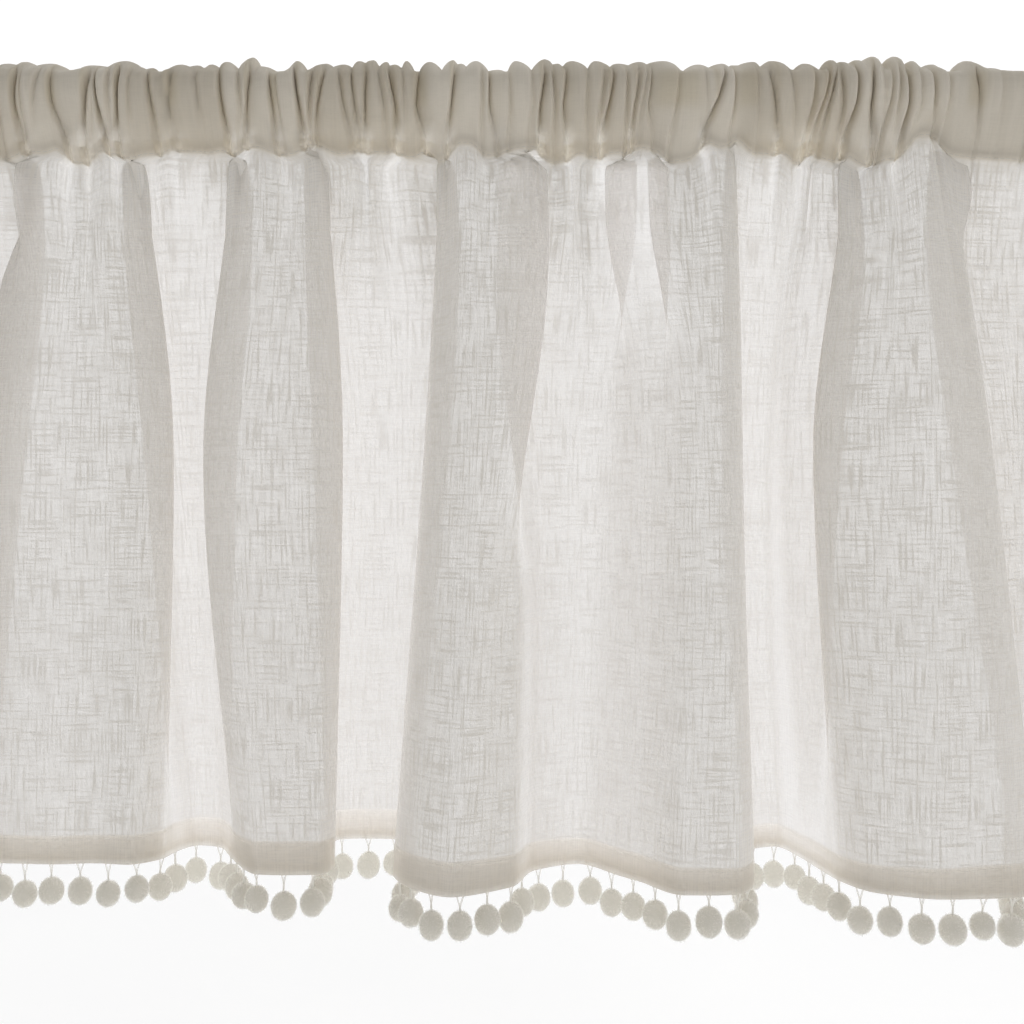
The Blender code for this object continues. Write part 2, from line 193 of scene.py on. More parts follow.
# The cloth's folds, as its solid has them, in mm from the middle of the valance. The last column is
# how much of the light from behind each place loses
Bend = namedtuple("Bend", "seam upper middle hem forward lift dim")
bends = [Bend(*row) for row in (
    (-404, -404, -403, -401, -4, 1, 0.6), (-384, -385, -388, -386, 20, 1, 0.9),
    (-360, -359, -358, -360, 24, 1, 0.9), (-348, -342, -338, -346, 8, 2, 0.7),
    (-343, -350, -349, -344, -12, 2, 0.5), (-318, -316, -322, -328, -30, 2, 0.25),
    (-283, -270, -284, -308, -14, 3, 0.5), (-278, -289, -306, -304, 0, 3, 0.9),
    (-256, -258, -266, -266, 10, 4, 0.75), (-230, -224, -214, -218, 10, 4, 1),
    (-220, -207, -195, -201, -3, 3, 0.6), (-216, -225, -216, -199, -18, 2, 0.3),
    (-200, -204, -196, -190, -34, 1, 0), (-172, -176, -181, -176, -30, 1, 0),
    (-163, -150, -160, -166, -12, 2, 0.2), (-158, -164, -176, -156, 7, 3, 0.9),
    (-142, -141, -150, -140, 25, 3, 0.8), (-123, -114, -108, -108, 26, 3, 0.85),
    (-118, -104, -96, -100, 13, 3, 0.8), (-115, -120, -116, -109, -12, 3, 0.4),
    (-107, -110, -105, -106, -35, 4, 0), (-70, -71, -70, -74, -38, 4, 0),
    (-50, -30, -37, -61, -18, 2, 0.2), (-42, -43, -50, -67, 13, 0, 0.9),
    (-34, -34, -42, -57, 36, 0, 1.05), (-17, -18, -20, -32, 51, 0, 1.05),
    (8, 7, 4, 0, 36, 0, 0.9), (22, 20, 18, 13, 8, 0, 0.25), (48, 47, 44, 38, -1, 0, 0.2),
    (74, 74, 76, 68, 26, 0, 0.35), (94, 97, 101, 92, 49, 0, 0.9), (119, 122, 122, 120, 47, 0, 0.95),
    (126, 128, 128, 133, 29, 0, 0.9), (130, 121, 120, 134, 4, 0, 0.5), (136, 133, 134, 146, -30, 0, 0.1),
    (154, 153, 150, 160, -35, 0, 0), (176, 170, 162, 170, -12, 0, 0), (188, 203, 188, 175, 8, 0, 0.2),
    (193, 185, 168, 180, 26, 0, 0.9), (210, 204, 190, 193, 44, 0, 1), (232, 232, 232, 226, 55, 0, 0.95),
    (244, 247, 257, 268, 52, 0, 1), (248, 252, 264, 286, 36, 0, 1), (252, 237, 252, 289, 5, 0, 0.7),
    (262, 262, 284, 297, -26, 1, 0.75), (296, 295, 304, 318, -30, 2, 0.7),
    (324, 337, 336, 334, -8, 2, 0.8), (330, 322, 318, 336, 10, 2, 1), (352, 349, 346, 352, 30, 1, 1.1),
    (382, 383, 384, 380, 28, 1, 0.9), (404, 404, 403, 401, 0, 1, 0.7),
)]

hang = {
    "middle": 430 * mm,  # of the rod
    "seamDepth": 37 * mm,  # rod's axis to the seam under it
    "drop": 405 * mm,  # seam to the hem's edge
    "levels": (0.0, 0.11, 0.42, 1.0),  # of the drop, for the table's first columns
    "quickShare": 0.62,  # of a fold's depth that comes soon under the seam
    "quickReach": 0.2,
    "gatherRelief": 2.8 * mm,  # each way, at the seam
    "gatherFade": 45 * mm,  # how far they last under it
    "ripples": 9,
    "rippleWidth": (26, 70),  # mm
    "rippleDepth": 0.22 * mm,
    "spreadPower": 0.17,  # below 1, a fold spreads soon under the seam
}


def clothLengths():
    hem = np.array([(bend.hem, bend.forward) for bend in bends]) * mm
    lengths = lengthsAlong(hem)
    for _ in range(4):
        fine = np.linspace(0.0, lengths[-1], 4000)
        lengths = np.interp(lengths, fine, lengthsAlong(through(lengths, hem, fine)))
    return lengths


bendLengths = clothLengths()
panelWidth = bendLengths[-1]
print(f"cloth {panelWidth / mm:.0f} mm wide")


def ofBends(name, along, unit=mm):
    return through(bendLengths, np.array([getattr(bend, name) for bend in bends]) * unit, along)


# The creases between the gathers on the rod: where each lies near the top of the pocket, halfway and
# low down, in mm from the middle, how deep it is at the top and low down, and how far its open side
# slopes to the right, or below 0 to the left. The gather on its other side laps over it
Crease = namedtuple("Crease", "top middle low deep lowDeep slope")
creases = [Crease(*row) for row in (
    (-279, -281, -279, 0.9, 0.8, 4), (-275, -276, -277, 0.35, 0.3, 2), (-265, -269, -271, 0.5, 0, 2.5),
    (-259, -259, -253.5, 0.6, 0.8, 6.5), (-239, -241.5, -244, 1, 0.8, 2.5),
    (-236.5, -237, -239, 0.4, 0.2, 1.5), (-235, -234, -231.5, 0.9, 0.9, 2.2),
    (-226.5, -227.5, -228, 0.5, 0.1, 2), (-221, -223, -224.5, 1, 0.8, 2.2),
    (-213.5, -215, -215.5, 0.35, 0.1, 2), (-205.5, -203.5, -202, 0.9, 0.7, 3),
    (-198, -197.5, -197.5, 0.3, 0.2, 2), (-191.5, -194, -192, 0.7, 0.7, 5.5),
    (-178, -176, -174.5, 0.55, 0.1, 2.5), (-165, -164, -161.5, 0.85, 0.9, 3.5),
    (-154, -153.5, -155, 0.5, 0.3, 2), (-147.5, -150, -152, 0.9, 0.9, 6),
    (-137.5, -135.5, -134.5, 0.85, 0.7, 5.5), (-132, -131, -130.5, 0.35, 0.3, -2),
    (-123, -121, -119, 1, 0.9, 2.8), (-112.5, -115, -114.5, 0.7, 0.4, 2.4),
    (-106, -110, -111.5, 0.9, 0.6, 3), (-98, -95.5, -91, 0.7, 0.6, 2.6),
    (-91, -89.5, -87, 0.8, 0.7, 2), (-82.5, -83.5, -83.5, 0.85, 1, 3), (-76, -72.5, -71.5, 0.6, 0.3, 2.2),
    (-70, -66.5, -66, 1, 0.9, 3.2), (-61.5, -61, -60.5, 0.4, 0.1, 2), (-53, -55, -49, 0.9, 0.9, 7),
    (-33, -35, -37, 0.85, 0.7, 5.5), (-18, -17.5, -17.5, 0.4, 0.3, 2), (-13.5, -13.5, -8.5, 0.8, 0.6, 8),
    (-2, -1, -2, 0.3, 0.4, 3), (10.5, 11, 10, 0.3, 0.3, 3), (17.5, 15, 16, 1, 0.8, 3.6),
    (22, 23.5, 24, 0.6, 0.4, 3), (30, 28, 32, 0.8, 0.8, 6), (42, 41.5, 43.5, 0.3, 0.5, 3),
    (51, 49, 48, 0.6, 0.3, 2.4), (56.5, 53.5, 51, 1, 0.9, 3.2), (64, 63.5, 64.5, 0.4, 0.5, 2),
    (70.5, 68, 68, 0.6, 0.7, 2.4), (75, 72, 71.5, 0.5, 0.2, 2), (78, 76, 80.5, 0.6, 0.4, 9),
    (93.5, 92, 89.5, 0.3, 0.4, 3), (108.5, 109.5, 107, 0.3, 0.2, -3), (119, 113.5, 108.5, 0.9, 0.9, 2.4),
    (124.5, 124.5, 124.5, 0.5, 0.4, 6), (136.5, 138, 139, 0.3, 0.2, 3), (145, 149.5, 152, 0.7, 0.9, -3.5),
    (155, 158.5, 160.5, 0.4, 0.2, 2.4), (169.5, 168, 165.5, 0.5, 0.8, 3),
    (177.5, 173.5, 170.5, 0.9, 0.7, 2.6), (183, 179, 175, 0.9, 0.6, -2.6),
    (186, 186.5, 184, 0.7, 0.4, -2.4), (193, 192.5, 188.5, 0.9, 1, 2.6),
    (203.5, 203, 205, 1, 0.8, -3), (207.5, 208.5, 210, 0.4, 0.1, 2), (212, 211.5, 208.5, 0.5, 0.6, 2),
    (216, 216, 216.5, 0.7, 0.1, 2), (220, 222, 220.5, 0.95, 1, 2.6), (227.5, 229, 227.5, 0.35, 0.1, 2),
    (234.5, 236.5, 240.5, 0.6, 0.5, 3), (244, 244.5, 245, 0.3, 0.2, 3), (261, 263, 263.5, 0.7, 0.3, -7),
    (272.5, 274, 275, 0.3, 0.2, 4),
)]

# The pocket's outline: mm from the middle and mm over the rod's axis, in turn
outline = (
    -294, 16, -287, 19, -282, 18, -277, 20, -271, 17.5, -263, 19, -252, 14.5, -246, 16, -240, 18, -230, 17,
    -220, 20.5, -212, 17, -209, 15.5, -205, 16.5, -202, 13.5, -199, 13.5, -188, 18.5, -184, 17, -179, 18,
    -175, 15.5, -171, 18.5, -167, 16, -162, 20, -156, 15, -147, 22.5, -144, 17.5, -133, 13.5, -128, 14,
    -122, 20.5, -117, 14.5, -106, 19, -102, 17, -96, 18.5, -91, 16, -87, 20.5, -84, 19, -79, 21, -76, 16.5,
    -72, 20, -70, 17.5, -67, 18.5, -63, 16, -60, 20.5, -56, 14, -53, 14, -47, 20, -40, 15, -34, 21,
    -31, 18.5, -29, 19, -26, 17, -21, 20.5, -14, 14.5, -8, 15.5, -3, 13.5, 2, 20.5, 11, 15, 18, 21.5,
    23, 18.5, 26, 19, 28, 17, 34, 20.5, 43, 16, 47, 20.5, 55, 17, 60, 19, 66, 18, 72, 20, 76, 18.5,
    86, 20.5, 97, 14, 106, 18.5, 112, 16.5, 119, 19, 123, 17, 125, 18, 129, 18, 137, 20, 141, 16.5,
    148, 20.5, 160, 14, 166, 19, 175, 14.5, 181, 21, 185, 19, 188, 20, 191, 18.5, 196, 21, 199, 20, 205, 23,
    210, 16, 216, 23, 223, 17, 227, 20.5, 231, 15.5, 239, 18.5, 243, 14, 251, 14.5, 258, 20.5, 269, 16,
    272, 16.5, 281, 14, 294, 14,
)

# The seam's line, in the same way
seamLine = (
    -292, -38, -285, -37, -278, -33, -266, -34, -259, -30, -254, -39, -241, -41, -237, -31, -233, -34,
    -226, -35, -219, -38, -210, -35, -201, -35, -196, -31, -186, -33, -168, -34, -165, -31, -160, -37,
    -152, -29, -142, -31, -137, -34, -124, -35, -120, -31, -114, -27, -107, -31, -100, -35, -94, -35,
    -89, -31, -84, -33, -72, -34, -67, -32, -61, -37, -52, -37, -50, -30, -43, -40, -37, -38, -32, -27,
    -21, -28, -16, -36, -7, -35, -2, -31, 15, -30, 19, -40, 31, -40, 36, -34, 43, -35, 49, -38, 55, -34,
    67, -34, 71, -30, 76, -31, 84, -32, 90, -40, 101, -39, 107, -32, 112, -26, 120, -31, 129, -24, 137, -34,
    152, -35, 155, -31, 160, -41, 166, -41, 171, -31, 176, -38, 187, -39, 192, -35, 199, -42, 209, -41,
    213, -38, 221, -38, 226, -31, 231, -22, 242, -22, 249, -35, 264, -37, 278, -38, 292, -39,
)

pocket = {
    "radius": 13.25 * mm,  # of cloth that touches the rod
    "lowTurn": 22,  # degrees, where it leaves the rod low down
    "swingReach": 30 * mm,  # of the curves from there to the seam
    "swingOut": (0.5, 0.86),
    "relief": 8.0 * mm,  # crest over crease, on the front
    "backRelief": 6.5 * mm,
    "slant": 0.92,  # of the outline, which is seen from below
    "seamLevel": -34 * mm,
    "seamShare": 0.85,  # of how far its line strays from that
    "heights": (-26 * mm, -9 * mm, 6 * mm),  # at which the creases' table is read
    "wall": 1.1 * mm,  # half-width of a crease on its steep side
    "fine": 1.7 * mm,  # and of the sharp part of its open side
    "fineShare": 0.5,
    "lap": 2.0 * mm,  # how far a gather laps over it
    "lapReach": 3.6 * mm,
    "mostLap": 2.4 * mm,
    "slitWall": 3.0 * mm,  # half-widths of the light in a crease
    "slitOpen": 3.2 * mm,
    # where the rod's shadow is painted on the pocket: mm from the middle, and half-width
    "rodShadowPlaces": ((-258, 3.5), (-191, 5), (-134, 3.5), (-52, 5), (92, 15), (132, 6), (260, 6)),
    "plainPitch": (9, 17),  # mm between creases past the table's ends
    "plainReach": 398,
}


def plainCreases():  # past the table's ends, as uneven as in it
    chance = np.random.default_rng(11)
    rows = list(creases)
    for side, start in ((-1, -290), (1, 290)):
        place = start
        while abs(place) < pocket["plainReach"]:
            lean = chance.uniform(-2.5, 2.5, 2)
            deep = chance.uniform(0.5, 1.0, 2)
            slope = chance.uniform(2.2, 7.0)
            rows.append(Crease(place + lean[0], place, place + lean[1], deep[0], deep[1], slope))
            place += side * chance.uniform(*pocket["plainPitch"])
    return np.array(rows).T


allCreases = Crease(*plainCreases())
creaseSides = np.sign(allCreases.slope)


def creaseGaps(across, height, drift=0.0):  # below 0 on the side that laps over; and each crease's depth
    low, middle, top = pocket["heights"]
    first = np.clip((height - low) / (middle - low), 0, 1)
    second = np.clip((height - middle) / (top - middle), 0, 1)
    place = allCreases.low + (allCreases.middle - allCreases.low) * first
    place = (place + (allCreases.top - allCreases.middle) * second) * mm
    place = place + drift * np.sin(allCreases.top * 1.7) * 3 * mm
    deep = allCreases.lowDeep + (allCreases.deep - allCreases.lowDeep) * (first + second) / 2
    return (across[:, None] - place[None, :]) * creaseSides, deep


def creaseDepths(across, height, drift=0.0):  # 0 in a crease, up to 1 on a gather's crest
    gap, deep = creaseGaps(across, height, drift)
    share = pocket["fineShare"]
    wall = np.exp(-(gap / pocket["wall"]) ** 2)
    opening = (share * np.exp(-np.abs(gap / pocket["fine"]) ** 1.5)
               + (1 - share) * np.exp(-(gap / (np.abs(allCreases.slope) * mm)) ** 2))
    return np.prod(1 - deep * np.where(gap < 0, wall, opening), axis=1)


def slitShares(across):  # of light through the creases under the rod
    gap, deep = creaseGaps(across, pocket["heights"][0])
    wide = np.where(gap < 0, pocket["slitWall"], pocket["slitOpen"] + 0.35 * np.abs(allCreases.slope) * mm)
    return (np.exp(-(gap / wide) ** 2) * smoothStep(deep, 0.4, 0.85)).max(axis=1)


def rodShadowShares(across):  # painted rod shadow: where the pocket lies flat on the rod and the rod's shadow shows through
    return sum(np.exp(-((across / mm - place) / half) ** 4) for place, half in pocket["rodShadowPlaces"])


def lapShifts(across, height, drift=0.0):  # sideways, of the gathers that lap over their creases
    gap, deep = creaseGaps(across, height, drift)
    edge = gap + pocket["wall"]
    pull = np.exp(-(edge / np.where(edge < 0, pocket["lapReach"], pocket["wall"])) ** 2)
    shift = (pull * deep * creaseSides).sum(axis=1) * pocket["lap"]
    return np.tanh(shift / pocket["mostLap"]) * pocket["mostLap"]


def beyondTable(table, across, inside, outside):  # a plain line past a table's ends
    last = table[-2] * mm
    share = smoothStep(np.abs(across), last - 2 * mm, last + 10 * mm)
    return inside * (1 - share) + outside * share


def domes(knots, values, at):  # a line with rounded tops and sharp notches
    right = np.clip(np.searchsorted(knots, at), 1, len(knots) - 1)
    part = np.clip((at - knots[right - 1]) / (knots[right] - knots[right - 1]), 0, 1)
    first, second = values[right - 1], values[right]
    part = np.where(first <= second, part, 1 - part)
    return np.minimum(first, second) + np.abs(second - first) * np.sin(part * math.pi / 2) ** 0.8


def outlineHeights(across):
    places, heights = np.reshape(outline, (-1, 2)).T * mm
    inside = domes(places, heights, np.clip(across, places[0], places[-1]))
    outside = 13.8 * mm + 6.5 * mm * creaseDepths(across, 30 * mm)
    slanted = beyondTable(outline, across, inside, outside) * pocket["slant"]
    return np.maximum(slanted, pocket["radius"] + 0.1 * mm)


def seamHeights(across):
    places, heights = np.reshape(seamLine, (-1, 2)).T * mm
    inside = 0
    for offset, weight in ((-3.2, 0.22), (-1.2, 0.28), (1.2, 0.28), (3.2, 0.22)):
        at = np.clip(across + offset * mm, places[0], places[-1])
        inside = inside + weight * through(places, heights, at)
    level = pocket["seamLevel"]
    inside = level + (inside - level) * pocket["seamShare"]
    outside = -35 * mm + 2.5 * mm * np.sin(across / (11 * mm)) * np.sin(across / (29 * mm))
    return beyondTable(seamLine, across, inside, outside)


# Small tucks under the seam, where the cloth lies over itself: how far along the cloth, in mm, how
# wide, how far it overlaps, to what share of the drop it lasts, and the side it is laid to
Tuck = namedtuple("Tuck", "along width overlap reach side")
tucks = [Tuck(*row) for row in (
    (60, 11, 15, 0.22, 1), (180, 10, 13, 0.15, -1), (513, 13, 7, 0.17, 1),
    (670, 14, 21, 0.52, 1), (717, 11, 6.5, 0.2, 1), (751, 10, 16, 0.25, -1), (785, 9, 12, 0.28, 1),
    (958, 9, 5, 0.15, -1), (1122, 8, 10, 0.12, 1), (1250, 10, 14, 0.20, -1), (1296, 9, 12, 0.15, 1),
)]


def tuckLeft(tuck, level):  # of the tuck, at a level
    return (1 - smoothStep(level, 0.3 * tuck.reach, 1.25 * tuck.reach)) * smoothStep(level, 0.001, 0.016)


def tuckShifts(along, level):  # across and forward
    across = np.zeros_like(along)
    forward = np.zeros_like(along)
    for tuck in tucks:
        gap = (along / mm - tuck.along) / tuck.width
        left = tuckLeft(tuck, level)
        turn = gap * np.exp(-gap * gap / 2) * 1.65
        across -= turn * tuck.overlap * left * mm
        forward += -tuck.side * turn * 1.2 * left * mm
    return across, forward


def ripples(along, level):  # slow unevenness of the hanging cloth, forward
    chance = np.random.default_rng(5)
    total = np.zeros_like(along)
    for _ in range(hang["ripples"]):
        wide = chance.uniform(*hang["rippleWidth"]) * mm
        tall = chance.uniform(-0.35, 0.35)
        phase = chance.uniform(0, 6.28)
        total += np.sin(along / wide * 6.28 + level * tall * 12 + phase)
    return total * hang["rippleDepth"]


def dropPoints(along, level):  # the middle of the cloth, from 0 at the seam to 1 at the hem's edge
    spread = np.array([(b.seam, b.upper, b.middle, b.hem) for b in bends]) * mm
    spreadHere = through(bendLengths, spread, along).T
    upper = hang["levels"][1]
    spreadLevel = level
    if level < upper:
        spreadLevel = upper * (level / upper) ** hang["spreadPower"] * smoothStep(level, 0, 0.009)
    across = through(hang["levels"], spreadHere, np.array([spreadLevel]))[0]
    seamAcross = spreadHere[0]
    quick = 1 - math.exp(-level / hang["quickReach"])
    growth = hang["quickShare"] * quick + (1 - hang["quickShare"]) * level
    crest = creaseDepths(seamAcross, pocket["heights"][0])
    fade = math.exp(-level * hang["drop"] / hang["gatherFade"])
    tuckAcross, tuckForward = tuckShifts(along, level)
    forward = ofBends("forward", along) * growth + (2 * crest - 1) * hang["gatherRelief"] * fade
    forward = forward + tuckForward + ripples(along, level) * smoothStep(level, 0, 0.3)
    lift = seamHeights(seamAcross + tuckAcross) + hang["seamDepth"]
    height = -hang["seamDepth"] - level * (hang["drop"] - ofBends("lift", along))
    height = height + lift * math.exp(-level / 0.08)
    return np.stack([hang["middle"] + across + tuckAcross, -forward, height], axis=1)


def swing(start, end, side, share):  # from seam to rod, in front -1, behind 1
    turn = math.radians(pocket["lowTurn"])
    away, up = pocket["swingOut"]
    out = np.array([side * away, up]) * pocket["swingReach"]
    into = np.array([side * math.sin(turn), math.cos(turn)]) * pocket["swingReach"]
    return curved(start, end, out, into, share)


def pocketPoints(across, back, height):
    return np.stack([hang["middle"] + across, back, height], axis=1)


def pocketFront(along, share):  # 0 at the seam, 1 at the low front of the rod
    across = ofBends("seam", along)
    turn = math.radians(pocket["lowTurn"])
    relief = hang["gatherRelief"]
    start = np.stack([np.full_like(across, relief - 0.4 * mm), seamHeights(across)], axis=1)
    end = np.array([-math.cos(turn), -math.sin(turn)]) * pocket["radius"]
    curve = swing(start, end, -1, share)
    height = float(np.median(curve[:, 1]))
    amplitude = (2 * relief * (1 - share) + pocket["relief"] * share) * creaseDepths(across, height)
    curve = curve + amplitude[:, None] * np.array([-math.cos(turn * share), -math.sin(turn * share)])
    lean = lapShifts(across, height) * smoothStep(share, 0.3, 1.0)
    return pocketPoints(across + lean, *curve.T)


def pocketBack(along, share):
    across = ofBends("seam", along)
    turn = math.radians(pocket["lowTurn"])
    relief = hang["gatherRelief"]
    forward = relief + 0.4 * mm - 2 * relief * creaseDepths(across, pocket["heights"][0])
    start = np.stack([forward, seamHeights(across)], axis=1)
    radii = pocket["radius"] + pocket["backRelief"] * creaseDepths(across, 0.0, drift=1.0)
    end = np.stack([radii * math.cos(turn), -radii * math.sin(turn)], axis=1)
    lean = lapShifts(across, 0.0, drift=1.0) * smoothStep(share, 0.3, 1.0)
    return pocketPoints(across + lean, *swing(start, end, 1, share).T)


def pocketRound(along, degrees):  # round the rod, with 90 on top
    across = ofBends("seam", along)
    angle = math.radians(degrees)
    height = pocket["radius"] * math.sin(angle)
    front = pocket["relief"] * creaseDepths(across, height)
    back = pocket["backRelief"] * creaseDepths(across, 0.0, drift=1.0)
    topShare = float(smoothStep(degrees, 8, 52) * (1 - smoothStep(degrees, 110, 160)))
    side = front if degrees < 90 else back
    radius = pocket["radius"] + (outlineHeights(across) - pocket["radius"]) * topShare + side * (1 - topShare)
    behind = float(smoothStep(degrees, 60, 120))
    lean = lapShifts(across, height) * (1 - behind) + lapShifts(across, 0.0, drift=1.0) * behind
    lean = lean * (1 - 0.6 * topShare)
    return pocketPoints(across + lean, -radius * math.cos(angle), radius * math.sin(angle))


def levelNormals(points):  # out of the cloth's front, level with the ground
    run = np.gradient(points, axis=0)
    return directions(np.stack([run[:, 1], -run[:, 0], np.zeros(len(run))], axis=1))


# The hem: turned up behind, its edge folded in. Its heights are in mm, at mm from the middle
hem = {
    "heights": ((-404, 16), (-260, 15.5), (-130, 18), (-20, 17.5), (30, 15), (90, 14), (130, 13.3),
                (185, 14), (230, 15.5), (260, 17), (404, 16)),
    "offsets": (0.2 * mm, -0.5 * mm, -1.2 * mm),  # front, folded-in edge, turned-up back
    "above": 0.95,  # the level that all of it lies under
}


def hemShares(along):  # of the drop
    places, heights = zip(*hem["heights"])
    return through(places, heights, ofBends("hem", along) / mm) * mm / hang["drop"]


def clothRow(along, level, offset):  # near the hem each column has a level of its own
    if np.min(level) < hem["above"]:
        points = dropPoints(along, level)
    else:
        high, low = dropPoints(along, hem["above"]), dropPoints(along, 1.0)
        points = high + (low - high) * np.reshape((level - hem["above"]) / (1 - hem["above"]), (-1, 1))
    return points + levelNormals(points) * offset


sheet = {
    "columns": 780,  # of the drop; the pocket has twice as many
    "sideHem": 10,  # columns turned back at each side
    "sideGap": 0.45 * mm,
    "seamDim": (0.55, 70 * mm),  # light lost under the seam, and how far down
    "slitDepths": (15 * mm, 29 * mm),  # where light comes to show through the creases
    "slitBehind": 10 * mm,  # and how much higher behind
    "thinSeam": 0.45,
    # Shade where a fold comes out of the seam: half its width, how far down, light lost, denser look
    "foldSeam": (7 * mm, 24 * mm, 0.5, 0.3),
    "thinEdge": 0.6,  # along the folds' edges
    "thinReach": 22 * mm,  # and how far under the seam
    "thinSlit": 0.8,  # under the creases between the gathers
    "gatherDim": 1.0,  # most light lost on a gather under the seam
    "gatherDense": 0.4,  # and how much denser it looks for that
    "gatherReach": (16 * mm, 66 * mm),
    "seamShade": (6 * mm, 0.45, 0.25),  # right under the seam: how far, light lost, denser look
    "thinHem": 0.46,  # more light than through the pocket
    "hemLight": (0.3, 0.07),  # in a recess: sewn look lost, light gained
    "thinTuck": 0.9,  # where a tuck folds over
    "dimTuck": 0.45,  # where it only gathers the cloth
    "hemTone": (0.5, 0.6, 0.55, 0.5, 0.42),  # inside and behind, then up the front, less toward the top: painted shade that darkens the hem toward its lower edge
}


def turnRows(along, level, first, last, angles, lift=0.0):  # half round, from one offset to another
    middle, radius = (first + last) / 2, (first - last) / 2
    rows = []
    for angle in angles:
        row = clothRow(along, level, middle + radius * math.cos(angle))
        row[:, 2] += radius * math.sin(angle) + lift
        rows.append(row)
    return rows


def dropRows(along):  # from the raw edge inside the hem to the seam, and how sewn each row looks, which on the hem's front also paints shade toward its lower edge
    front, inside, behind = hem["offsets"]
    share = hemShares(along)
    tones = sheet["hemTone"]
    rows = [clothRow(along, 1 - share * part, inside) for part in (0.12, 0.4, 0.7, 0.95)]
    rows += turnRows(along, 1 - share, inside, behind, (0.5, 1.57, 2.6))  # over the hem's top
    rows += [clothRow(along, 1 - share * part, behind) for part in (0.95, 0.65, 0.35, 0.06)]
    rows += turnRows(along, 1.0, behind, front, np.linspace(0.2, 2.94, 5), 0.3 * mm)  # its lower edge
    sewn = [tones[0]] * len(rows) + list(tones[1:]) + [0.0]
    seamTone = [0.08, 0.22, 0.5]
    rows += [clothRow(along, 1 - share * part, front) for part in (0.06, 0.35, 0.65, 0.97, 1.06)]
    levels = np.concatenate([np.linspace(0.948, 0.2, 17),
                             (0.165, 0.135, 0.11, 0.088, 0.068, 0.05, 0.034, 0.023, 0.014, 0.008, 0.0035)])
    rows += [clothRow(along, level, front) for level in levels]
    return rows, sewn + [0.0] * (len(levels) - 3) + seamTone


def pocketRows(along):  # up the front, round the rod, down the back, to the raw edge turned in
    rows = [pocketFront(along, part) for part in np.linspace(0.0, 1.0, 10)[:-1]]
    rows += [pocketRound(along, degrees) for degrees in np.linspace(-pocket["lowTurn"], 90, 13)[:-1]]
    rows += [pocketRound(along, degrees) for degrees in np.linspace(90, 180 + pocket["lowTurn"], 9)]
    rows += [pocketBack(along, part) for part in np.linspace(1.0, 0.0, 6)[1:]]
    for part in (0.05, 0.2, 0.35):
        frontPoint, backPoint = pocketFront(along, part), pocketBack(along, part)
        rows.append(backPoint + (frontPoint - backPoint) * 0.35)
    return rows, [1.0] * len(rows)


def gatherShades(across, below):  # of the gathers that run on under the seam, some more than others
    places = np.sort(allCreases.low) * mm
    chance = np.random.default_rng(41)
    strengths = chance.uniform(0, 1, len(places) + 1) ** 2
    reaches = chance.uniform(*sheet["gatherReach"], len(places) + 1)
    which = np.searchsorted(places, across)
    crest = creaseDepths(across, pocket["heights"][0]) * strengths[which]
    return sheet["gatherDim"] * crest * np.exp(-(below / reaches[which]) ** 1.5)


foldPlaces = [(first.seam + second.seam) / 2 * mm for first, second in zip(bends, bends[1:])
              if second.upper < first.upper]


def clothLooks(along, grid, acrossRun, sewn):  # what the finish reads, for each point
    fullness = np.hypot(acrossRun[..., 0], acrossRun[..., 1]) / (np.abs(acrossRun[..., 0]) + 1e-9)
    across, depth = ofBends("seam", along), -grid[..., 2]
    under = depth + seamHeights(across)  # the seam; below 0 in the pocket
    below, hanging = np.abs(under), under >= 0
    slit = slitShares(across)
    slitDepth = depth + sheet["slitBehind"] * (grid[..., 1] > 0)
    thin = np.where(hanging, sheet["thinSlit"] * slit ** 2 * np.exp(-below / sheet["thinReach"]),
                    slit * smoothStep(slitDepth, *sheet["slitDepths"])
                    + sheet["thinSeam"] * smoothStep(under, -7 * mm, 0))
    # Painted shade: the creases over the rod get a darker, warmer colour, and so do the places where the
    # rod's shadow shows through
    paintedShade = (1 - creaseDepths(across, pocket["heights"][1])) * (1 - smoothStep(depth, 10 * mm, 24 * mm))
    # painted rod shadow, where the pocket lies flat on the rod
    flat = rodShadowShares(across) * (1 - smoothStep(np.abs(depth - 2 * mm), 6 * mm, 14 * mm))

    levels = (depth - hang["seamDepth"]) / (hang["drop"] - ofBends("lift", along))
    thin = thin + sheet["thinEdge"] * smoothStep(fullness, 1.3, 3.5) * smoothStep(levels, 0, 0.03)
    dim = ofBends("dim", along, 1)
    inHem = levels - 1 + hemShares(along)
    hemShare = smoothStep(inHem, -0.0022, -0.001)
    recess = np.clip(1 - dim, 0, 1) ** 2 * hemShare
    sewnLost, lightGained = sheet["hemLight"]
    thin = thin + sheet["thinHem"] * hemShare * (1 + 0.5 * (1 - smoothStep(inHem, 0.002, 0.016)))
    thin = thin + lightGained * recess
    lost, reach = sheet["seamDim"]
    near = np.exp(-np.clip(levels, 0, 1) * hang["drop"] / reach)
    dim = dim * (1 - 0.4 * near) + lost * near

    half, reach, foldDim, foldDense = sheet["foldSeam"]
    fold = sum(np.exp(-((across - place) / half) ** 4) for place in foldPlaces)
    fold = fold * np.exp(-(below / reach) ** 2) * hanging
    reach, shadeDim, shadeDense = sheet["seamShade"]
    shade = np.exp(-(below / reach) ** 2) * hanging
    gather = gatherShades(across, below) * hanging
    dim, thin = dim + foldDim * fold + gather + shadeDim * shade, thin * (1 - 0.5 * fold)
    dense = foldDense * fold + shadeDense * shade + sheet["gatherDense"] * gather
    for tuck in tucks:
        inside = np.exp(-((along / mm - tuck.along) / (1.6 * tuck.width)) ** 4) * tuckLeft(tuck, levels)
        if tuck.overlap > tuck.width:
            thin = thin + sheet["thinTuck"] * inside
        else:
            dim = dim + sheet["dimTuck"] * inside
    return {
        "fullness": np.clip(fullness, 1.0, 1.35) + dense,
        "paintedShade": np.maximum(paintedShade, flat),
        "dim": np.clip(dim, 0, 1.2),
        "sewn": np.array(sewn)[:, None] * (1 - sewnLost * recess),
        "thin": np.clip(thin, 0, 1),
    }


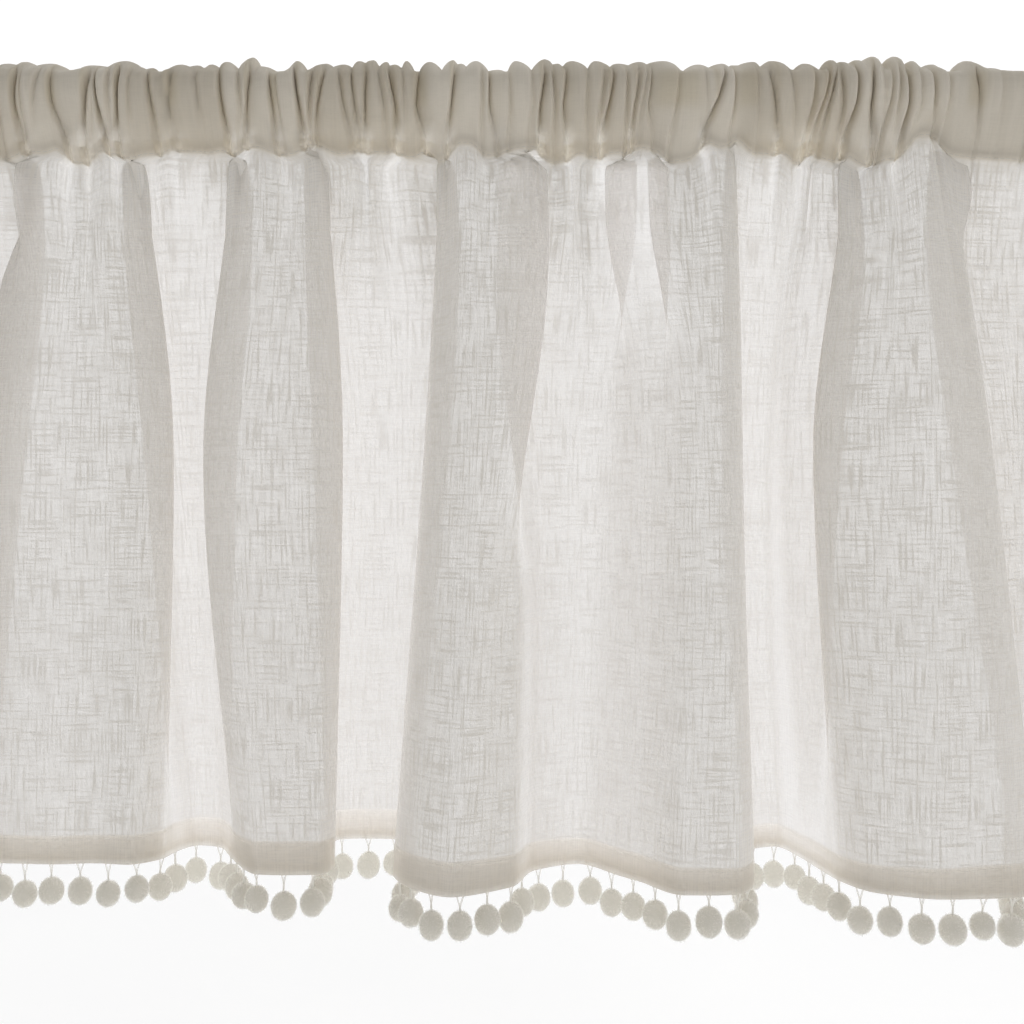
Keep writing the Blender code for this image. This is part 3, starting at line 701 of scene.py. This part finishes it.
def clothPart(along, rows, sewn, turned):  # its points and their looks, with the sides turned back
    grid = np.array(rows)
    acrossRun, upRun = np.gradient(grid, axis=1), np.gradient(grid, axis=0)
    normals = directions(np.cross(acrossRun, upRun), 1e-12)
    looks = clothLooks(along, grid, acrossRun, sewn)
    last = len(along) - 1
    side = np.arange(1, turned + 1)
    order = np.concatenate([side[::-1], np.arange(len(along)), last - side])
    gap = np.concatenate([np.ones(turned), np.zeros(len(along)), np.ones(turned)]) * sheet["sideGap"]
    points = grid[:, order] - normals[:, order] * gap[None, :, None]
    distance = np.concatenate([-along[side[::-1]], along, 2 * along[last] - along[last - side]])
    return points, distance, {name: value[:, order] for name, value in looks.items()}


def clothSheet():  # one sheet, with twice the columns from the seam on
    fine = np.linspace(0.0, panelWidth, sheet["columns"] * 2 - 1)
    coarse = fine[::2]
    turned = sheet["sideHem"]
    parts = (clothPart(coarse, *dropRows(coarse), turned), clothPart(fine, *pocketRows(fine), turned * 2))
    drop, top = (points for points, distance, looks in parts)
    start = drop.shape[0] * drop.shape[1]
    edge = start - drop.shape[1] + np.arange(drop.shape[1] - 1)  # the last row before the seam
    seam = start + 2 * np.arange(drop.shape[1] - 1)
    joins = np.concatenate([np.stack(corners, -1) for corners in (
        (edge, edge + 1, seam + 1), (edge, seam + 1, seam), (edge + 1, seam + 2, seam + 1))])
    quads = np.concatenate([gridFaces(*drop.shape[:2]), gridFaces(*top.shape[:2]) + start])
    runs = [np.linalg.norm(np.diff(part, axis=0), axis=2).mean(axis=1) for part in (drop, top)]
    between = np.linalg.norm(top[0, ::2] - drop[-1], axis=1).mean()
    length = np.concatenate(([0.0], np.cumsum(np.concatenate([runs[0], [between], runs[1]]))))
    uv = [np.stack(np.broadcast_arrays(distance, rowLength[:, None]), -1).reshape(-1, 2)
          for (points, distance, looks), rowLength in zip(parts, np.split(length, [len(drop)]))]
    points = np.concatenate([drop.reshape(-1, 3), top.reshape(-1, 3)])
    values = {name: np.concatenate([looks[name].ravel() for points, distance, looks in parts])
              for name in parts[0][2]}
    return points, quads.tolist() + joins.tolist(), np.concatenate(uv), float(length[-1]), values


# Linen: an open weave. A slub is where a thread runs thick for a while

linen = {
    "colour": (0.84, 0.81, 0.76, 1),
    "slubColour": (0.72, 0.68, 0.61, 1),
    "sewnAndShadeColour": (0.67, 0.62, 0.535, 1),  # of the doubled cloth in the pocket and hem, partly painted shade: darker than the linen's own colour
    "through": (0.906, 0.888, 0.88, 1),  # light that passes the threads
    "sewnThrough": (0.93, 0.87, 0.75, 1),
    "paintedCreaseShade": (0.59, 0.53, 0.42, 1),  # painted shade, darker and warmer, in the creases over the rod and where the rod's shadow shows through
    "pitch": 1.1 * mm,
    "cover": 0.83,  # share of the cloth that threads fill
    "sewnCover": 0.12,  # more of it where the cloth is doubled
    "glow": 0.60,  # share of light through a thread in a recess
    "glowLost": 0.43,  # less of it on the folds' faces
    "thinGlow": 0.48,  # more of it in the creases under the rod
    "thinCover": 0.46,
    "sewnPlain": 0.8,  # contrast lost where it is doubled
    "uneven": (0.12, 0.155, 0.17, 0.008, 0.10),  # by weft, warp, slubs, weave, slow changes
    "fine": (10 * mm, 0.9 * mm),  # length and thickness of the fine streaks
    "warp": (22 * mm, 0.95 * mm),
    "slub": (22 * mm, 1.1 * mm),
    "roughness": 0.92,
}


def streaks(finish, u, v, size, shift, detail=1.0):
    vector = finish.node("CombineXYZ", {}, {0: u * (1 / size[0]) + shift, 1: v * (1 / size[1])})
    return finish.noise(vector, detail=detail, flat=True)


def linenFinish(name):
    finish = Finish(name)
    metres = finish.node("UVMap", {"uv_map": "clothMetres"})
    parts = finish.node("SeparateXYZ", {}, {0: metres})
    u, v = parts, Wire(parts.socket.node.outputs[1])
    cloudy = finish.noise(metres, scale=30.0, detail=1.0, flat=True)
    sway = (cloudy - 0.5) * 0.7 * mm
    u, v = u + sway, v + sway
    sewn, thin, dim, fullness, paintedShade = (finish.node("Attribute", {"attribute_name": each}, out=2)
                                         for each in ("sewn", "thin", "dim", "fullness", "paintedShade"))
    weft = finish.smooth(streaks(finish, u, v, linen["fine"], 3.1), 0.3, 0.7)
    warp = finish.smooth(streaks(finish, v, u, linen["warp"], 7.7), 0.3, 0.7)
    weftSlub = finish.smooth(streaks(finish, u, v, linen["slub"], 11.3, 0.0), 0.56, 0.78)
    warpSlub = finish.smooth(streaks(finish, v, u, linen["slub"], 17.9, 0.0), 0.56, 0.78)
    slub = weftSlub.math("MAXIMUM", weftSlub * 0.9, warpSlub)
    turns = 2 * math.pi / linen["pitch"]
    weave = (u.math("COSINE", u * turns) + 1) * (v.math("COSINE", v * turns) + 1) * 0.25
    ofWeft, ofWarp, ofSlub, ofWeave, ofCloud = linen["uneven"]
    uneven = ((weft - 0.5) * ofWeft + (warp - 0.5) * ofWarp + slub * ofSlub - weave * ofWeave
              + (cloudy - 0.5) * ofCloud) * (0.85 + 0.15 * dim)
    cover = linen["cover"] + sewn * linen["sewnCover"] + uneven * (1 - sewn * linen["sewnPlain"])
    cover = cover.math("MINIMUM", cover.math("MAXIMUM", cover, 0.12), 0.98)
    closed = (1 - (1 - cover) ** fullness) * (1 - thin * linen["thinCover"])
    tint = finish.blend(slub * 0.6 + (weft * warp) * 0.2, linen["colour"], linen["slubColour"])
    # the doubled cloth's colour with its painted shade, lifted where light comes through: painted light in
    # the slits
    tint = finish.blend(sewn * (1 - thin * 0.7), tint, linen["sewnAndShadeColour"])
    # painted shade in the creases over the rod and painted rod shadow
    tint = finish.blend(paintedShade * 0.93, tint, linen["paintedCreaseShade"])
    relief = weft * 0.3 + warp * 0.3 + slub * 0.5 - weave * 0.3
    bump = finish.node("Bump", {}, {"Strength": 0.06, "Distance": 0.2 * mm, "Height": relief})
    threads = finish.node("BsdfPrincipled", {}, {
        "Base Color": tint, "Roughness": linen["roughness"], "Normal": bump,
        "Specular IOR Level": 0.25, "Sheen Weight": 0.12, "Sheen Roughness": 0.5,
    })
    looseGlow = finish.node("BsdfTranslucent", {}, {"Color": linen["through"]})
    sewnGlow = finish.node("BsdfTranslucent", {}, {"Color": linen["sewnThrough"]})
    glow = finish.node("MixShader", {}, {0: sewn ** 1.5, 1: looseGlow, 2: sewnGlow})
    share = linen["glow"] - dim * linen["glowLost"] - slub * 0.06 + thin * linen["thinGlow"]
    lit = finish.node("MixShader", {}, {0: share, 1: threads, 2: glow})
    clear = finish.node("BsdfTransparent")
    return finish.show(finish.node("MixShader", {}, {0: closed, 1: clear, 2: lit}))


clothPoints, clothFaces, clothUv, clothLength, clothValues = clothSheet()
clothObject = makeObject("valanceLinen", clothPoints, clothFaces, linenFinish("looseLinen"), clothUv)
for valueName, values in clothValues.items():
    addValues(clothObject, valueName, values)
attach(clothObject, "root")
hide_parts("valance_cloth")
print(f"linen sheet {len(clothFaces)} faces, {clothLength / mm:.0f} mm from edge to edge")


# The trim: a woven tape behind the hem, with a pom-pom on a doubled thread every 16 mm

gatherWidths = (
    17, 21, 19, 17, 20, 18, 19, 22, 22, 17, 18, 19, 19, 22, 20, 15, 15, 15, 14, 16, 16, 17, 18,
    19, 20, 19, 23, 22, 18, 21, 21, 19, 16, 14, 21, 26, 20, 17, 22, 19, 16, 21, 19,
)
trim = {
    "across": 808 * mm,
    "gap": 0.5 * mm,  # behind the hem
    "thickness": 1.4 * mm,
    "height": 5 * mm,
    "overEdge": 1.0 * mm,
    "hemBack": -1.6 * mm,
    "pitch": 15.8 * mm,
    "rootDepth": 1.2 * mm,
    "threadLength": 9.8 * mm,
    "threadUneven": 1.5 * mm,
    "unevenTurn": 2.4,
    "threadRadius": 0.5 * mm,
    "threadSpread": (0.3, 2.2),  # mm, half of it, at the tape
    "threadBow": 0.35 * mm,
    "ballRadius": 8.0 * mm,
    "uneven": (0.93, 1.03),
    "core": 0.81,  # of a pom-pom's radius, under the cut ends
    "tall": (1.10, 1.20),
    "ballDrop": 7.0 * mm,  # thread's end to the ball's middle
    "down": 0.87,  # a veil for the ends too fine to draw
    "ends": 2150,  # cut ends that stand off each one
    "endLength": (0.13, 0.27),  # of its radius
    "endWidth": 0.22 * mm,
    "endLean": 0.10,
}


def tapePoints(along, overEdge, depth):
    level = 1 - overEdge / hang["drop"]
    return clothRow(along, level, trim["hemBack"] - depth)


def rootPoints(along):  # the middle of the tape, where the threads start
    return tapePoints(along, trim["overEdge"] + trim["rootDepth"], trim["gap"] + trim["thickness"] / 2)


def pompomAlongs():  # the same places as in the part's solids
    edges = np.concatenate(([0.0], np.cumsum(gatherWidths)))
    edges = (edges / edges[-1] - 0.5) * trim["across"]
    across = [a + (b - a) * phase for a, b in zip(edges[:-1], edges[1:]) for phase in (0, 0.33, 0.67)]
    across.append(edges[-1])
    fine = np.linspace(0.0, panelWidth, 4000)
    columns = np.interp(across, ofBends("seam", fine), fine)
    tape = rootPoints(columns)
    fine = np.linspace(columns[0] + trim["pitch"] / 2, columns[-1] - trim["pitch"] / 4, 6000)
    path = pointsAt(fine, columns, tape)
    kept = [0]
    for index in range(1, len(path)):
        if np.linalg.norm(path[index] - path[kept[-1]]) >= trim["pitch"]:
            kept.append(index)
    return fine[kept], path[kept]


rootAlongs, rootPlaces = pompomAlongs()
print(f"{len(rootAlongs)} pom-poms")


def tubeMesh(path, radii, sides):  # rings of points along a path, and their faces
    path = np.asarray(path, float)
    run = directions(np.gradient(path, axis=0), 1e-12)
    first = directions(np.cross(run, (0.31, 0.87, 0.37)))
    second = np.cross(run, first)
    angle = np.arange(sides) * 2 * math.pi / sides
    radii = np.broadcast_to(radii, len(path))
    ring = (np.cos(angle)[None, :, None] * first[:, None] + np.sin(angle)[None, :, None] * second[:, None])
    return (path[:, None] + ring * radii[:, None, None]).reshape(-1, 3), gridFaces(len(path), sides, True)


def joinMeshes(parts):
    points, faces, start = [], [], 0
    for partPoints, partFaces in parts:
        points.append(partPoints)
        faces.append(partFaces + start)
        start += len(partPoints)
    return np.concatenate(points), np.concatenate(faces).tolist()


ballColours = (0.83, 0.80, 0.74, 1), (0.78, 0.75, 0.68, 1)
endColours = (0.97, 0.96, 0.94, 1), (0.92, 0.90, 0.87, 1)
yarn = {
    "recessGlow": 0.42,  # more light comes through in the recesses
    "glowColour": (0.93, 0.92, 0.89, 1),
    # Colours, share of light let through, scale of the mottling, share left clear, and detail, which
    # is 0 for ends too fine to have a relief of their own
    "finishes": {
        "pompomYarn": (ballColours, 0.40, 260.0, 0.0, 3.0),
        "pompomDown": (endColours, 0.9, 400.0, 0.7, 0.0),
        "pompomEnds": (endColours, 0.82, 400.0, 0.5, 0.0),
        "trimThread": (endColours, 0.75, 500.0, 0.45, 3.0),
    },
}


def yarnFinish(name):
    colours, glowShare, scale, clearShare, detail = yarn["finishes"][name]
    finish = Finish(name)
    recess = finish.node("Attribute", {"attribute_name": "recess"}, out=2)
    place = finish.node("TexCoord", out=3)
    mottle = finish.noise(place, scale=scale, detail=detail)
    tint = finish.blend(finish.smooth(mottle, 0.35, 0.65), *colours)
    looks = {"Base Color": tint, "Roughness": 0.95, "Specular IOR Level": 0.2,
             "Sheen Weight": 1.0, "Sheen Roughness": 0.5}
    if detail:
        fine = finish.noise(place, scale=scale * 5)
        looks["Normal"] = finish.node("Bump", {}, {"Strength": 0.6, "Distance": 0.4 * mm, "Height": fine})
    threads = finish.node("BsdfPrincipled", {}, looks)
    glow = finish.node("BsdfTranslucent", {}, {"Color": yarn["glowColour"]})
    lit = finish.node("MixShader", {}, {0: glowShare + recess * yarn["recessGlow"], 1: threads, 2: glow})
    if clearShare:
        lit = finish.node("MixShader", {}, {0: clearShare, 1: lit, 2: finish.node("BsdfTransparent")})
    return finish.show(lit)


def ballShape(fineness):  # a unit ball of evenly spread points
    ball = bmesh.new()
    bmesh.ops.create_icosphere(ball, subdivisions=fineness, radius=1.0)
    ball.verts.ensure_lookup_table()
    points = np.array([vertex.co for vertex in ball.verts])
    faces = np.array([[vertex.index for vertex in face.verts] for face in ball.faces])
    ball.free()
    return points, faces


def waves(points, chance, count, low, high):  # smooth bumps all over a set of directions
    total = np.zeros(len(points))
    for _ in range(count):
        direction = chance.normal(size=3)
        direction *= chance.uniform(low, high) / np.linalg.norm(direction)
        total += np.sin(points @ direction + chance.uniform(0, 6.28))
    return total / math.sqrt(count)


def pompoms():
    chance = np.random.default_rng(23)
    unit, unitFaces = ballShape(4)
    balls, down, hairs, threads = [], [], [], []
    downUnit, downFaces = ballShape(3)
    for index, (root, top) in enumerate(zip(rootPlaces, rootPoints(rootAlongs))):
        turn = index * trim["unevenTurn"]
        fall = trim["threadLength"] + trim["threadUneven"] * math.sin(turn)
        radius = trim["ballRadius"] * chance.uniform(*trim["uneven"])
        stretch = np.array([1.0, 1.0, chance.uniform(*trim["tall"])])
        bottom = root[2] - trim["overEdge"] - trim["rootDepth"] - fall
        centre = np.array([root[0], root[1], bottom - trim["ballDrop"]])
        core = trim["core"] + 0.016 * waves(unit, chance, 8, 2, 5) + 0.008 * waves(unit, chance, 8, 14, 26)
        balls.append((centre + unit * (core * radius)[:, None] * stretch, unitFaces))
        reach = trim["down"] + 0.02 * waves(downUnit, chance, 8, 6, 14)
        down.append((centre + downUnit * (reach * radius)[:, None] * stretch, downFaces))
        hairs.append(fuzz(centre, radius, stretch, trim["ends"], chance))
        threads += hanger(top, centre + np.array([0, 0, radius * stretch[2] * 0.82]), chance)
    return [joinMeshes(parts) for parts in (balls, down, hairs, threads)]


def fuzz(centre, radius, stretch, count, chance):  # short cut ends that stand off a pom-pom
    out = directions(chance.normal(size=(count, 3)))
    lean = directions(out + chance.normal(size=(count, 3)) * trim["endLean"])
    side = directions(np.cross(lean, chance.normal(size=(count, 3))))
    start = out * trim["core"] * 0.95 * radius
    tip = start + lean * radius * chance.uniform(*trim["endLength"], count)[:, None]
    half = side * trim["endWidth"] / 2
    points = np.stack([start - half, start + half, tip], axis=1)
    faces = np.arange(count * 3).reshape(count, 3)
    return centre + points.reshape(-1, 3) * stretch, faces


def hanger(top, bottom, chance):  # the two ends of one thread, from the tape to the pom-pom
    spread = chance.uniform(*trim["threadSpread"]) * mm
    side = np.array([math.cos(chance.uniform(-0.5, 0.5)), math.sin(chance.uniform(-0.5, 0.5)), 0])
    made = []
    for sign in (-1, 1):
        start = top + side * spread * sign + np.array([0, 0, 1.0 * mm])
        share = np.linspace(0, 1, 7)[:, None]
        path = start * (1 - share) + bottom * share
        path = path + side * sign * trim["threadBow"] * np.sin(share * 3.14 * 2)
        made.append(tubeMesh(path, trim["threadRadius"], 6))
    return made


def tapeMesh():
    along = np.linspace(0.0, panelWidth, 700)
    low, high = trim["overEdge"], trim["overEdge"] + trim["height"]
    near, far = trim["gap"], trim["gap"] + trim["thickness"]
    soft = 0.35 * mm
    corners = ((low + soft, near), (high - soft, near), (high, near + soft), (high, far - soft),
               (high - soft, far), (low + soft, far), (low, far - soft), (low, near + soft))
    rings = np.array([tapePoints(along, height, depth) for height, depth in corners])
    rings = rings.transpose(1, 0, 2)
    return rings, gridFaces(len(along), len(corners), True).tolist()


trimMeshes = pompoms() + [tapeMesh()]
finishes = [yarnFinish(name) for name in yarn["finishes"]]
threadFinish = finishes[-1]
trimNames = ("pompomBalls", "pompomDown", "pompomFuzz", "pompomThreads", "trimTape")
trimParts = [makeObject(name, points, faces, finish)
             for name, (points, faces), finish in zip(trimNames, trimMeshes, finishes + [threadFinish])]
recesses = np.clip(1 - ofBends("dim", rootAlongs, 1), 0, 1)
for part in trimParts[:3]:
    addValues(part, "recess", np.repeat(recesses, len(part.data.vertices) // len(recesses)))
for part in trimParts:
    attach(part, "root")
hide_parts("pompom_trim")
print(f"pom-poms: {sum(len(part.data.polygons) for part in trimParts)} faces")


# Stitches: short raised runs of sewing thread

stitching = {"length": 2.3 * mm, "gap": 1.1 * mm, "radius": 0.11 * mm, "stand": 0.05 * mm,
             "fromTop": 1.6 * mm}


def stitchLine(rowPoints, outward):
    run = lengthsAlong(rowPoints)
    made = []
    place = 1.0 * mm
    while place + stitching["length"] < run[-1]:
        at = place + stitching["length"] * np.array([0.0, 0.2, 0.5, 0.8, 1.0])
        lift = np.array([-0.1, 0.8, 1.0, 0.8, -0.1])[:, None] * stitching["stand"]
        path = pointsAt(at, run, rowPoints) + pointsAt(at, run, outward) * lift
        made.append(tubeMesh(path, stitching["radius"], 4))
        place += stitching["length"] + stitching["gap"]
    return made


def stitches():
    along = np.linspace(0.0, panelWidth, 1600)
    made = []
    level = 1 - hemShares(along) + stitching["fromTop"] / hang["drop"]
    for side, offset in ((1, hem["offsets"][0]), (-1, hem["offsets"][2])):  # either side of the hem
        row = clothRow(along, level, offset)
        made += stitchLine(row, levelNormals(row) * side)
    row = pocketFront(along, 0.03)  # under the pocket
    made += stitchLine(row, levelNormals(row))
    return joinMeshes(made)


stitchPoints, stitchFaces = stitches()
stitchObject = makeObject("sewingThread", stitchPoints, stitchFaces, threadFinish)
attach(stitchObject, "root")
print(f"stitches: {len(stitchFaces)} faces")


# Rod: satin paint, a little uneven

rod = {"colour": (0.36, 0.33, 0.29, 1), "shade": (0.30, 0.275, 0.24, 1), "roughness": 0.42}


def rodFinish():
    finish = Finish("satinPaint")
    place = finish.node("TexCoord", out=3)
    mottle = finish.noise(place, scale=60.0, detail=4.0)
    fine = finish.noise(place, scale=900.0)
    tint = finish.blend(finish.smooth(mottle, 0.3, 0.7), rod["colour"], rod["shade"])
    bump = finish.node("Bump", {}, {"Strength": 0.15, "Distance": 0.1 * mm, "Height": fine})
    return finish.show(finish.node("BsdfPrincipled", {}, {
        "Base Color": tint, "Roughness": rod["roughness"] + (mottle - 0.5) * 0.15, "Normal": bump,
        "Metallic": 0.2,
    }))


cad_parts["curtain_rod"].material_slots[0].material = rodFinish()


# Studio: a pale floor, soft light all round and more of it behind

studio = {"floor": -0.78, "eye": (0.43, -0.62, -0.239), "lens": 37.9, "front": 0.27, "back": 1.30,
          "overhead": 0.4, "boxPlace": (1.5, -1.4, 0.8), "boxSize": 0.9, "boxPower": 3.5}


def buildStudio():
    floorFinish = Finish("paleFloor")
    place = floorFinish.node("TexCoord", out=3)
    grain = floorFinish.noise(place, scale=3.0, detail=3.0)
    tint = floorFinish.blend(grain, (0.93, 0.93, 0.93, 1), (0.90, 0.90, 0.905, 1))
    material = floorFinish.show(floorFinish.node(
        "BsdfPrincipled", {}, {"Base Color": tint, "Roughness": 0.85, "Specular IOR Level": 0.2,
                               "Emission Color": (1, 1, 1, 1), "Emission Strength": 0.15}))
    ring = [(0.43 + 9 * math.cos(a), 9 * math.sin(a), studio["floor"])
            for a in np.arange(64) * 2 * math.pi / 64]
    floor = makeObject("studioFloor", ring, [list(range(64))], material)

    light = Finish("softLight", world=True)
    parts = light.node("SeparateXYZ", {}, {0: light.node("TexCoord")})
    ahead, up = (Wire(parts.socket.node.outputs[index]) for index in (1, 2))
    strength = (studio["front"] + light.smooth(ahead, -0.5, 0.35) * (studio["back"] - studio["front"])
                + light.smooth(up, 0.25, 0.95) * studio["overhead"])
    bpy.context.scene.world = light.show(light.node("Background", {}, {"Strength": strength}))

    lamp = bpy.data.lights.new("frontSoftBox", "AREA")
    lamp.shape = "DISK"
    lamp.size, lamp.energy = studio["boxSize"], studio["boxPower"]
    box = addObject("frontSoftBox", lamp)
    box.location = studio["boxPlace"]
    aim = np.array((0.43, 0.0, -0.2)) - np.array(studio["boxPlace"])
    box.rotation_euler = Vector(aim).to_track_quat("-Z", "Y").to_euler()
    box.visible_camera = False


buildStudio()
bpy.context.scene.view_settings.view_transform = "Standard"

camera = bpy.data.cameras.new("camera")
camera.sensor_width = 36
camera.lens = studio["lens"]
camera.clip_start = 0.01
cameraObject = addObject("camera", camera)
cameraObject.location = studio["eye"]
cameraObject.rotation_euler = (math.radians(90), 0, 0)
bpy.context.scene.camera = cameraObject

print("scene ready")
